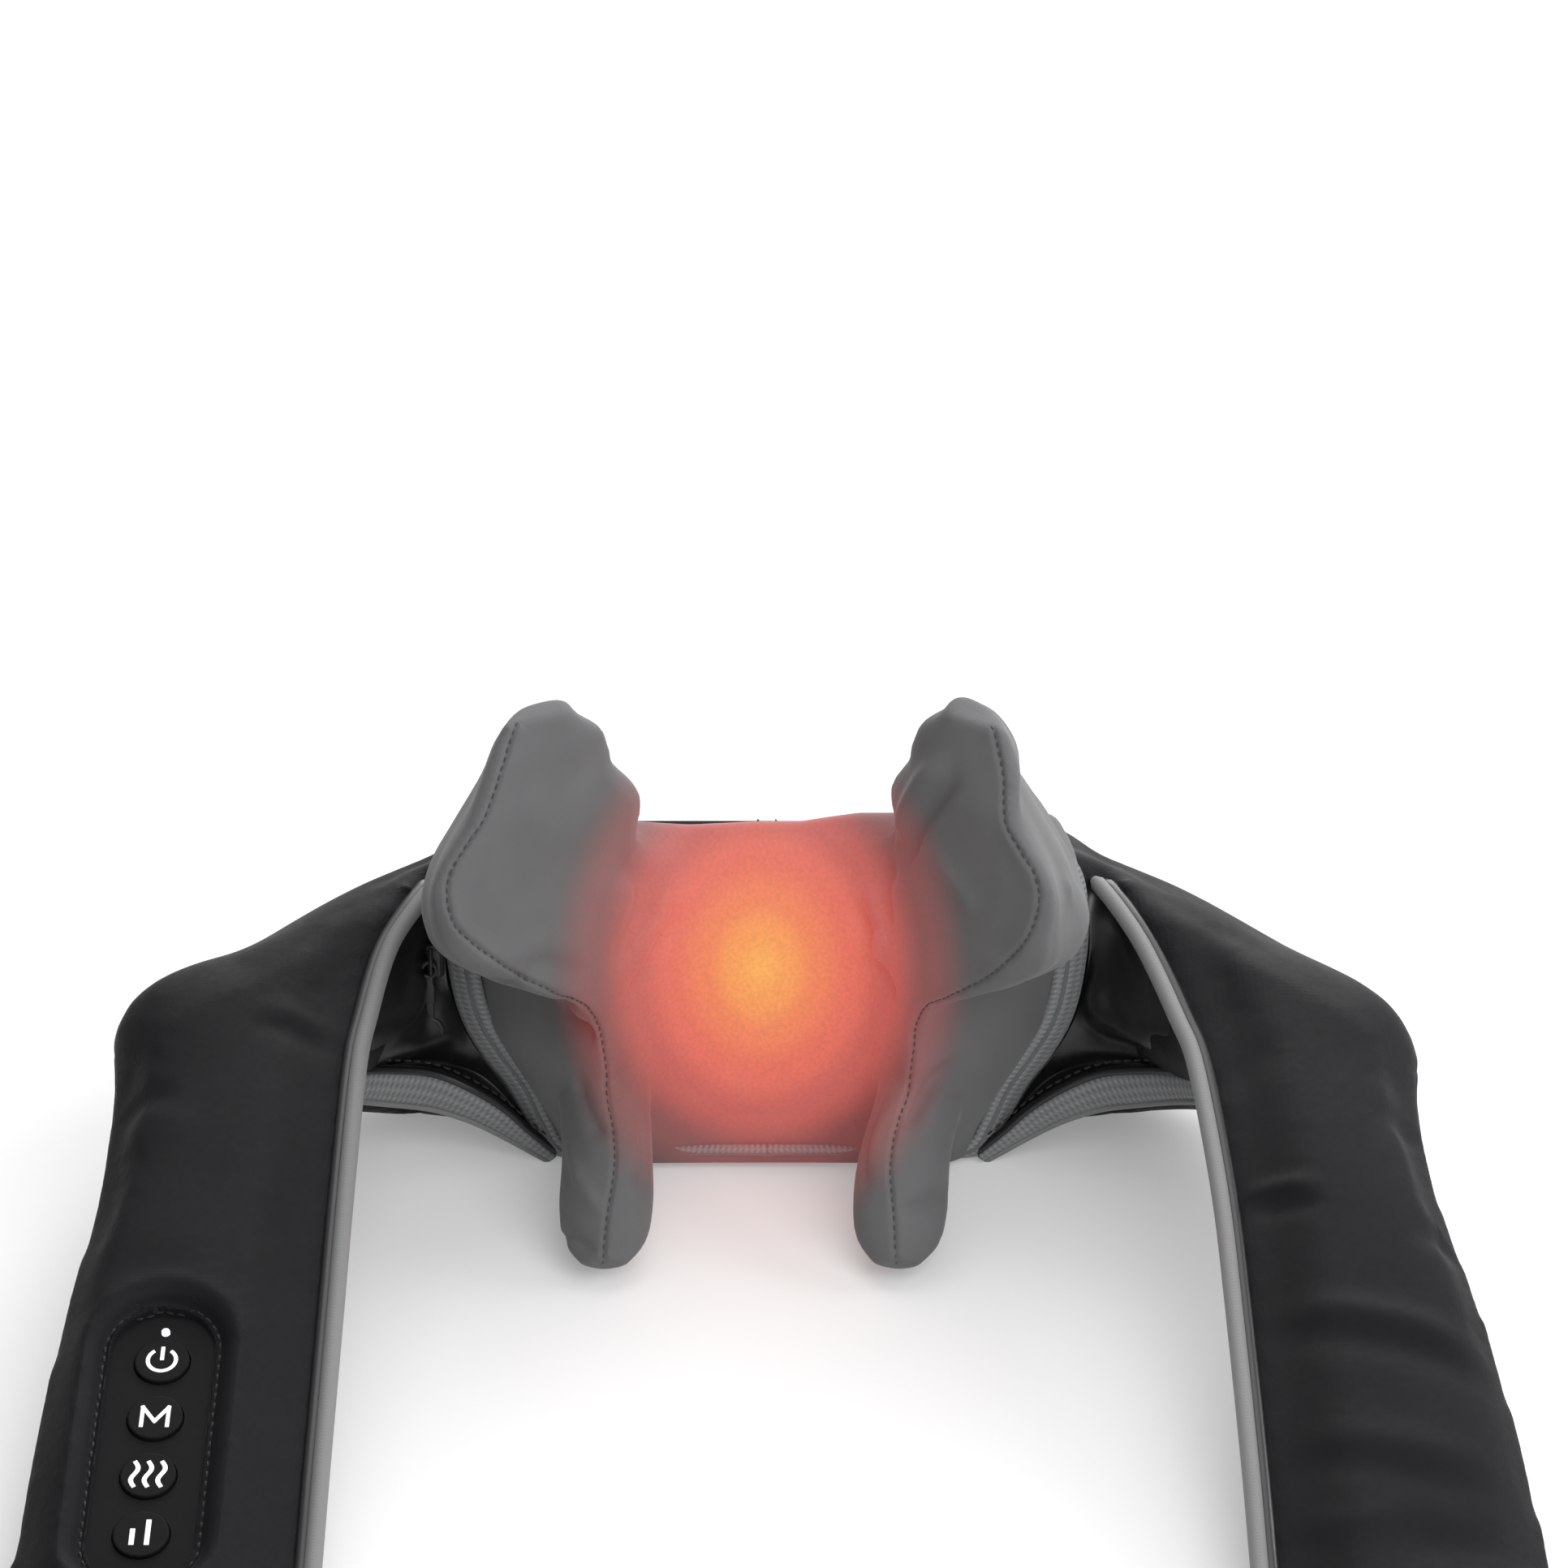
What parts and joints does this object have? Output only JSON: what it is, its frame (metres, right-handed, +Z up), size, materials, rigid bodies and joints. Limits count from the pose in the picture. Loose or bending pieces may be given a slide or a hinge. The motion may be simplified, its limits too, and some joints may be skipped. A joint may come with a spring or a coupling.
{
  "type": "shiatsu neck massager",
  "caption": "Black padded U-shaped neck and shoulder massager with a grey knit cover over kneading claws, a warm glowing middle and a key panel on one arm.",
  "frame": {"origin": "middle of the footprint, on the table", "axes": "+Z up, the arms run forward along -Y from the pod, +X to the right as seen from in front of the cover"},
  "size_m": [0.3878, 0.4, 0.1601],
  "materials": {
    "black_leatherette": "matte, fine grained",
    "grey_knit": "stretch knit",
    "light_grey_piping": "smooth piping",
    "zip_tape": "woven tape",
    "webbing": "woven strap",
    "black_plastic": "moulded",
    "white_nylon": "moulded",
    "claw_foam": "foam",
    "key_silicone": "moulded silicone",
    "steel": "plain",
    "brass": "turned",
    "aluminium": "plain",
    "circuit_board": "solder mask",
    "cell_wrap": "shrink wrap",
    "lens": "clear"
  },
  "bodies": {
    "pod": {"rear_housing": "black_plastic", "housing_screw_1": "steel", "housing_screw_2": "steel", "housing_screw_3": "steel", "housing_screw_4": "steel", "charge_socket": "steel", "back_panel": "black_leatherette", "front_frame": "black_plastic", "cover_panel": "grey_knit", "cover_zip": "zip_tape", "bottom_panel": "black_leatherette", "base_plate": "black_plastic", "gearbox_front": "black_plastic", "gearbox_rear": "black_plastic", "left_shaft_bearing": "brass", "right_shaft_bearing": "brass", "motor": "steel", "left_pivot_post": "steel", "right_pivot_post": "steel", "heat_plate": "aluminium", "lamp_board": "circuit_board", "left_battery_cell": "cell_wrap", "right_battery_cell": "cell_wrap", "battery_clip": "black_plastic", "main_board": "circuit_board", "left_yoke": "black_leatherette", "right_yoke": "black_leatherette", "left_yoke_piping": "light_grey_piping", "right_yoke_piping": "light_grey_piping", "zip_slider": "black_plastic"},
    "drive": {"drive_shaft": "steel", "worm_wheel": "white_nylon", "left_oblique_hub": "white_nylon", "right_oblique_hub": "white_nylon"},
    "worm_shaft": {"worm": "steel"},
    "left_claw": {"left_claw_fork": "white_nylon", "left_upper_pad": "claw_foam", "left_lower_pad": "claw_foam"},
    "right_claw": {"right_claw_fork": "white_nylon", "right_upper_pad": "claw_foam", "right_lower_pad": "claw_foam"},
    "left_arm_pad": {"left_arm": "black_leatherette", "left_arm_piping": "light_grey_piping", "left_hand_strap": "webbing", "key_panel": "key_silicone", "key_board": "circuit_board", "status_lamp": "lens"},
    "right_arm_pad": {"right_arm": "black_leatherette", "right_arm_piping": "light_grey_piping", "right_hand_strap": "webbing"},
    "power_button": {"power_key": "key_silicone"},
    "mode_button": {"mode_key": "key_silicone"},
    "heat_button": {"heat_key": "key_silicone"},
    "level_button": {"level_key": "key_silicone"},
    "pull_tab": {"zip_pull": "black_plastic"}
  },
  "joints": [
    {"name": "shaft_spin", "type": "hinge", "parent": "pod", "child": "drive", "pos_m": [0, 0.153, 0.06], "axis": [1, 0, 0], "continuous": true},
    {"name": "worm_spin", "type": "hinge", "parent": "pod", "child": "worm_shaft", "pos_m": [0, 0.1736, 0.06], "axis": [0, 0, 1], "continuous": true},
    {"name": "left_claw_knead", "type": "hinge", "parent": "pod", "child": "left_claw", "pos_m": [-0.042, 0.153, 0.06], "axis": [0, 0, 1], "range_deg": [-6, 6]},
    {"name": "right_claw_knead", "type": "hinge", "parent": "pod", "child": "right_claw", "pos_m": [0.042, 0.153, 0.06], "axis": [0, 0, 1], "range_deg": [-6, 6]},
    {"name": "left_arm_fold", "type": "hinge", "parent": "pod", "child": "left_arm_pad", "pos_m": [-0.147, 0.069, 0.057], "axis": [-1, 0, 0], "range_deg": [0, 40]},
    {"name": "right_arm_fold", "type": "hinge", "parent": "pod", "child": "right_arm_pad", "pos_m": [0.147, 0.069, 0.057], "axis": [-1, 0, 0], "range_deg": [0, 40]},
    {"name": "zip_pull_swing", "type": "hinge", "parent": "pod", "child": "pull_tab", "pos_m": [-0.096, 0.134, 0.064], "axis": [-1, 0, 0], "range_deg": [0, 110]},
    {"name": "power_press", "type": "slide", "parent": "left_arm_pad", "child": "power_button", "axis": [0, 0.2756, -0.9613], "range_m": [0, 0.0008], "stiffness_N_per_m": 900, "springref_m": -0.0006},
    {"name": "mode_press", "type": "slide", "parent": "left_arm_pad", "child": "mode_button", "axis": [0, 0.2756, -0.9613], "range_m": [0, 0.0008], "stiffness_N_per_m": 900, "springref_m": -0.0006},
    {"name": "heat_press", "type": "slide", "parent": "left_arm_pad", "child": "heat_button", "axis": [0, 0.2756, -0.9613], "range_m": [0, 0.0008], "stiffness_N_per_m": 900, "springref_m": -0.0006},
    {"name": "level_press", "type": "slide", "parent": "left_arm_pad", "child": "level_button", "axis": [0, 0.2756, -0.9613], "range_m": [0, 0.0008], "stiffness_N_per_m": 900, "springref_m": -0.0006}
  ],
  "couplings": [
    {"joint": "worm_spin", "follows": "shaft_spin", "ratio": -24},
    {"joint": "right_claw_knead", "follows": "left_claw_knead", "ratio": -1}
  ]
}
